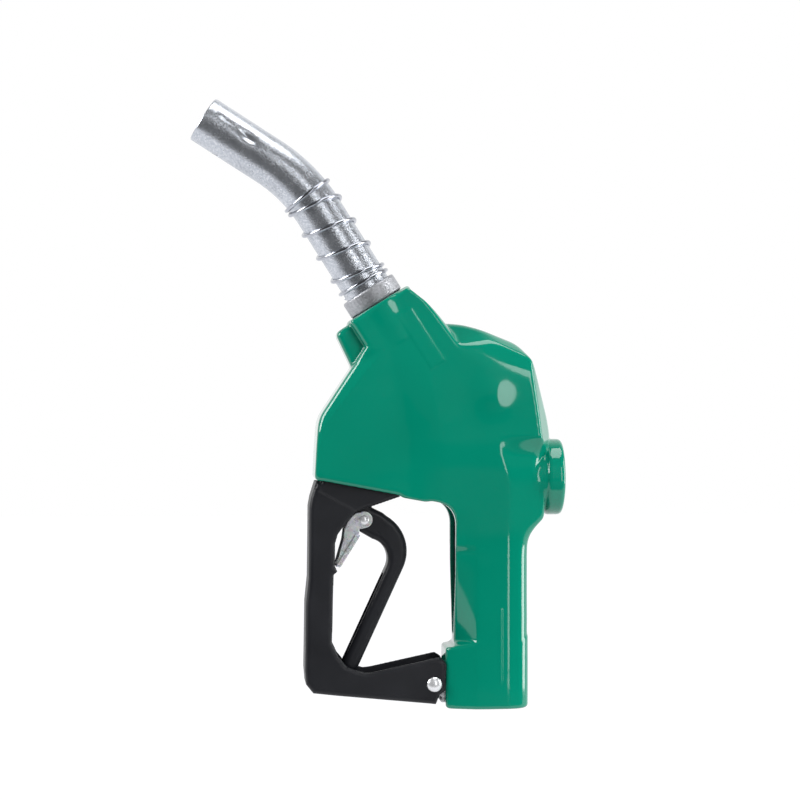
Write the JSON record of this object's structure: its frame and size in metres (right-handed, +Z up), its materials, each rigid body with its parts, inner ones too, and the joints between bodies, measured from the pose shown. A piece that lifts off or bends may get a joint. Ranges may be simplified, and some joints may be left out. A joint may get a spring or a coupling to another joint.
{
  "type": "fuel nozzle",
  "caption": "Hand-held automatic shut-off fuel nozzle with a bent spout, anchor spring, vinyl-covered body, guarded hand lever, hold-open clip and a threaded hose inlet in the handle.",
  "frame": {"origin": "centre of the hose inlet's face at the foot of the handle", "axes": "+Z up the handle, +X from the lever towards the handle's back, +Y away from the side that the picture shows"},
  "size_m": [0.2346, 0.06, 0.3826],
  "materials": {
    "casting": "as cast",
    "green_vinyl": "glossy, slightly wavy vinyl",
    "spout_metal": "dull, finely pitted",
    "bushing_metal": "sand cast",
    "nitrile": "moulded",
    "dark_steel": "blackened",
    "spring_wire": "drawn wire",
    "brass": "machined",
    "bright_steel": "turned",
    "ptfe": "smooth",
    "black_lever": "satin black",
    "black_guard": "satin black",
    "zinc_plate": "zinc plated sheet",
    "rivet_steel": "bright domed head"
  },
  "bodies": {
    "nozzle_body": {"body_casting": "casting", "hand_insulator": "green_vinyl", "spout_tube": "spout_metal", "spout_bushing": "bushing_metal", "spout_o_ring": "nitrile", "bushing_set_screw": "dark_steel", "anchor_spring": "spring_wire", "vent_tube": "spout_metal", "venturi_ring": "brass", "check_spring": "spring_wire", "check_spring_seat": "brass", "valve_seat": "brass", "main_spring": "spring_wire", "valve_cap": "casting", "valve_cap_o_ring": "nitrile", "stem_packing": "ptfe", "packing_nut": "brass", "latch_spring": "spring_wire", "diaphragm": "nitrile", "vacuum_cap": "casting", "vacuum_cap_screws": "dark_steel", "diaphragm_spring": "spring_wire", "lever_guard": "black_guard", "guard_rivet": "rivet_steel", "guard_screw": "dark_steel", "inlet_strainer": "bright_steel", "strainer_ring": "brass"},
    "main_valve": {"main_stem": "bright_steel", "poppet_disc": "nitrile", "poppet_holder": "brass", "poppet_nut": "bright_steel"},
    "check_valve": {"check_poppet": "brass"},
    "latch": {"latch_plunger": "bright_steel", "latch_balls": "bright_steel", "lever_pivot_pin": "bright_steel"},
    "diaphragm_latch": {"latch_pin": "bright_steel", "diaphragm_plate": "bright_steel"},
    "lever": {"lever": "black_lever", "clip_rivet": "rivet_steel"},
    "hold_open_clip": {"hold_open_clip": "zinc_plate", "clip_spring": "spring_wire"}
  },
  "joints": [
    {"name": "latch_slide", "type": "slide", "parent": "nozzle_body", "child": "latch", "axis": [-1, 0, 0], "range_m": [0, 0.007], "stiffness_N_per_m": 300, "springref_m": -0.02, "deforming": ["latch_spring"]},
    {"name": "lever_pivot", "type": "hinge", "parent": "latch", "child": "lever", "pos_m": [-0.084, 0, 0.19], "axis": [0, -1, 0], "range_deg": [0, 13.5], "stiffness_Nm_per_rad": 4, "springref_deg": -17.19},
    {"name": "clip_pivot", "type": "hinge", "parent": "lever", "child": "hold_open_clip", "pos_m": [-0.0789, 0, 0.1184], "axis": [0, -1, 0], "range_deg": [-4, 20], "stiffness_Nm_per_rad": 0.2},
    {"name": "main_valve_slide", "type": "slide", "parent": "nozzle_body", "child": "main_valve", "axis": [1, 0, 0], "range_m": [0, 0.0116], "stiffness_N_per_m": 1200, "springref_m": -0.01, "deforming": ["main_spring"]},
    {"name": "diaphragm_slide", "type": "slide", "parent": "nozzle_body", "child": "diaphragm_latch", "axis": [1, 0, 0], "range_m": [0, 0.003], "stiffness_N_per_m": 200, "springref_m": -0.01, "deforming": ["diaphragm_spring", "diaphragm"]},
    {"name": "check_valve_slide", "type": "slide", "parent": "nozzle_body", "child": "check_valve", "axis": [-0.5344, 0, 0.8453], "range_m": [0, 0.005], "stiffness_N_per_m": 400, "springref_m": -0.02, "deforming": ["check_spring"]}
  ],
  "couplings": [
    {"joint": "main_valve_slide", "follows": "lever_pivot", "m_per_rad": 0.049}
  ]
}
